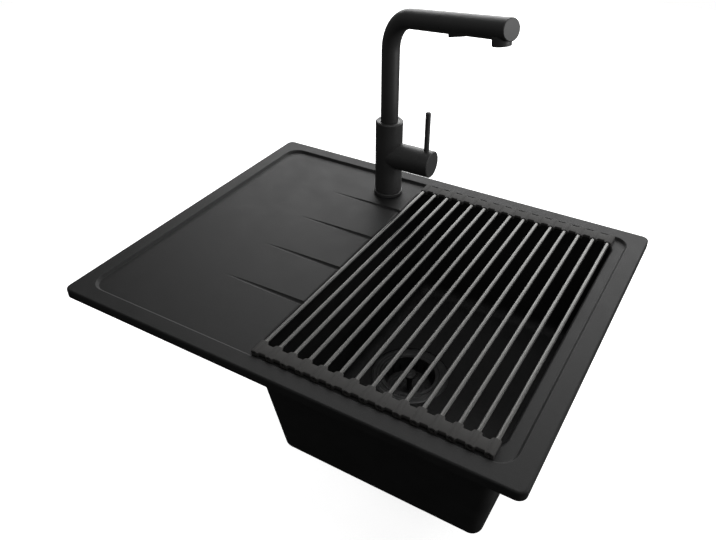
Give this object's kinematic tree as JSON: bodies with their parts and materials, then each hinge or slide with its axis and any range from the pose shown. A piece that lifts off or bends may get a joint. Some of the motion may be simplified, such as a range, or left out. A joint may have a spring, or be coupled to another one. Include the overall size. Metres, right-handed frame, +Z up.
{
  "type": "workstation kitchen sink",
  "caption": "Matte black composite kitchen sink with a grooved drainer, a deep bowl under a roll-up steel mat, a basket waste and a black lever tap with a pull-out spray head.",
  "frame": {"origin": "centre of the deck in plan, in the plane of the worktop that the rim rests on", "axes": "+X to the right along the deck, from the drainer to the bowl; +Y to the back; +Z up"},
  "size_m": [0.62, 0.5, 0.5823],
  "materials": {
    "granite_black": "matte, fine grain",
    "waste_dark_steel": "satin dark coating",
    "seal_rubber": "matte",
    "waste_plastic": "matte",
    "stainless": "brushed",
    "tap_black": "matte black coating",
    "brass_plain": "turned",
    "bearing_plastic": "moulded",
    "black_plastic": "matte",
    "spray_face_rubber": "matte",
    "hose_grey": "braided look",
    "ceramic_white": "lapped",
    "silicone_grey": "matte silicone"
  },
  "bodies": {
    "sink": {"sink_body": "granite_black", "waste_flange": "waste_dark_steel", "waste_seals": "seal_rubber", "waste_pot": "waste_plastic", "waste_bolt": "stainless", "tap_base_seal": "seal_rubber", "tap_base_ring": "tap_black", "tap_shank": "brass_plain", "shank_washer_rubber": "seal_rubber", "shank_washer_steel": "stainless", "shank_nut": "brass_plain", "tap_body": "tap_black", "swivel_bush": "bearing_plastic", "dome_nut": "tap_black", "cartridge_housing": "bearing_plastic", "fixed_disc": "ceramic_white"},
    "spout": {"spout_tube": "tap_black", "swivel_o_rings": "seal_rubber", "spout_clip": "stainless", "dock_collar": "bearing_plastic"},
    "spray_head": {"head_shell": "tap_black", "head_spigot": "bearing_plastic", "spray_hose": "hose_grey", "nozzle_ring": "black_plastic", "spray_face": "spray_face_rubber"},
    "spray_button": {"spray_button": "black_plastic"},
    "lever_guide": {"cartridge_guide": "bearing_plastic", "cartridge_pin": "stainless"},
    "lever": {"cartridge_stem": "brass_plain", "lever_hub": "tap_black", "lever_rod": "tap_black"},
    "moving_disc": {"moving_disc": "ceramic_white"},
    "basket": {"basket": "waste_dark_steel", "basket_stopper": "seal_rubber"},
    "mat": {"mat_rod_01": "stainless", "mat_rod_02": "stainless", "mat_rod_03": "stainless", "mat_rod_04": "stainless", "mat_rod_05": "stainless", "mat_grips_flat": "silicone_grey"},
    "mat_link_06": {"mat_rod_06": "stainless", "mat_grips_06": "silicone_grey"},
    "mat_link_07": {"mat_rod_07": "stainless", "mat_grips_07": "silicone_grey"},
    "mat_link_08": {"mat_rod_08": "stainless", "mat_grips_08": "silicone_grey"},
    "mat_link_09": {"mat_rod_09": "stainless", "mat_grips_09": "silicone_grey"},
    "mat_link_10": {"mat_rod_10": "stainless", "mat_grips_10": "silicone_grey"},
    "mat_link_11": {"mat_rod_11": "stainless", "mat_grips_11": "silicone_grey"},
    "mat_link_12": {"mat_rod_12": "stainless", "mat_grips_12": "silicone_grey"},
    "mat_link_13": {"mat_rod_13": "stainless", "mat_grips_13": "silicone_grey"},
    "mat_link_14": {"mat_rod_14": "stainless", "mat_grips_14": "silicone_grey"},
    "mat_link_15": {"mat_rod_15": "stainless", "mat_grips_15": "silicone_grey"}
  },
  "joints": [
    {"name": "spout_swivel", "type": "hinge", "parent": "sink", "child": "spout", "pos_m": [-0.075, 0.183, 0.11], "axis": [0, 0, -1], "range_deg": [-30, 150]},
    {"name": "head_pull", "type": "slide", "parent": "spout", "child": "spray_head", "axis": [0.8889, -0.424, 0.1736], "range_m": [0, 0.45]},
    {"name": "button_press", "type": "hinge", "parent": "spray_head", "child": "spray_button", "pos_m": [0.06712, 0.11521, 0.29409], "axis": [0.4305, 0.9026, 0], "range_deg": [0, 4.5], "stiffness_Nm_per_rad": 0.15, "springref_deg": -5.73},
    {"name": "lever_mix", "type": "hinge", "parent": "sink", "child": "lever_guide", "pos_m": [-0.035, 0.183, 0.0744], "axis": [1, 0, 0], "range_deg": [-45, 45]},
    {"name": "lever_flow", "type": "hinge", "parent": "lever_guide", "child": "lever", "pos_m": [-0.035, 0.183, 0.0744], "axis": [0, 1, 0], "range_deg": [0, 20]},
    {"name": "disc_shift", "type": "slide", "parent": "lever_guide", "child": "moving_disc", "axis": [0, 0, 1], "range_m": [0, 0.0036]},
    {"name": "basket_lift", "type": "slide", "parent": "sink", "child": "basket", "axis": [0, 0, 1], "range_m": [0, 0.1]},
    {"name": "mat_lift", "type": "slide", "parent": "sink", "child": "mat", "axis": [0, 0, 1], "range_m": [0, 0.03]},
    {"name": "mat_roll_06", "type": "hinge", "parent": "mat", "child": "mat_link_06", "pos_m": [0.069, 0, 0.0135], "axis": [0, -1, 0], "range_deg": [0, 31]},
    {"name": "mat_roll_07", "type": "hinge", "parent": "mat_link_06", "child": "mat_link_07", "pos_m": [0.0894, 0, 0.0135], "axis": [0, -1, 0], "range_deg": [0, 31]},
    {"name": "mat_roll_08", "type": "hinge", "parent": "mat_link_07", "child": "mat_link_08", "pos_m": [0.1098, 0, 0.0135], "axis": [0, -1, 0], "range_deg": [0, 31]},
    {"name": "mat_roll_09", "type": "hinge", "parent": "mat_link_08", "child": "mat_link_09", "pos_m": [0.1302, 0, 0.0135], "axis": [0, -1, 0], "range_deg": [0, 31]},
    {"name": "mat_roll_10", "type": "hinge", "parent": "mat_link_09", "child": "mat_link_10", "pos_m": [0.1506, 0, 0.0135], "axis": [0, -1, 0], "range_deg": [0, 31]},
    {"name": "mat_roll_11", "type": "hinge", "parent": "mat_link_10", "child": "mat_link_11", "pos_m": [0.171, 0, 0.0135], "axis": [0, -1, 0], "range_deg": [0, 31]},
    {"name": "mat_roll_12", "type": "hinge", "parent": "mat_link_11", "child": "mat_link_12", "pos_m": [0.1914, 0, 0.0135], "axis": [0, -1, 0], "range_deg": [0, 31]},
    {"name": "mat_roll_13", "type": "hinge", "parent": "mat_link_12", "child": "mat_link_13", "pos_m": [0.2118, 0, 0.0135], "axis": [0, -1, 0], "range_deg": [0, 31]},
    {"name": "mat_roll_14", "type": "hinge", "parent": "mat_link_13", "child": "mat_link_14", "pos_m": [0.2322, 0, 0.0135], "axis": [0, -1, 0], "range_deg": [0, 31]},
    {"name": "mat_roll_15", "type": "hinge", "parent": "mat_link_14", "child": "mat_link_15", "pos_m": [0.2526, 0, 0.0135], "axis": [0, -1, 0], "range_deg": [0, 31]}
  ],
  "couplings": [
    {"joint": "disc_shift", "follows": "lever_flow", "m_per_rad": 0.01},
    {"joint": "mat_roll_07", "follows": "mat_roll_06", "ratio": 1},
    {"joint": "mat_roll_08", "follows": "mat_roll_06", "ratio": 1},
    {"joint": "mat_roll_09", "follows": "mat_roll_06", "ratio": 1},
    {"joint": "mat_roll_10", "follows": "mat_roll_06", "ratio": 1},
    {"joint": "mat_roll_11", "follows": "mat_roll_06", "ratio": 1},
    {"joint": "mat_roll_12", "follows": "mat_roll_06", "ratio": 1},
    {"joint": "mat_roll_13", "follows": "mat_roll_06", "ratio": 1},
    {"joint": "mat_roll_14", "follows": "mat_roll_06", "ratio": 1},
    {"joint": "mat_roll_15", "follows": "mat_roll_06", "ratio": 1}
  ]
}
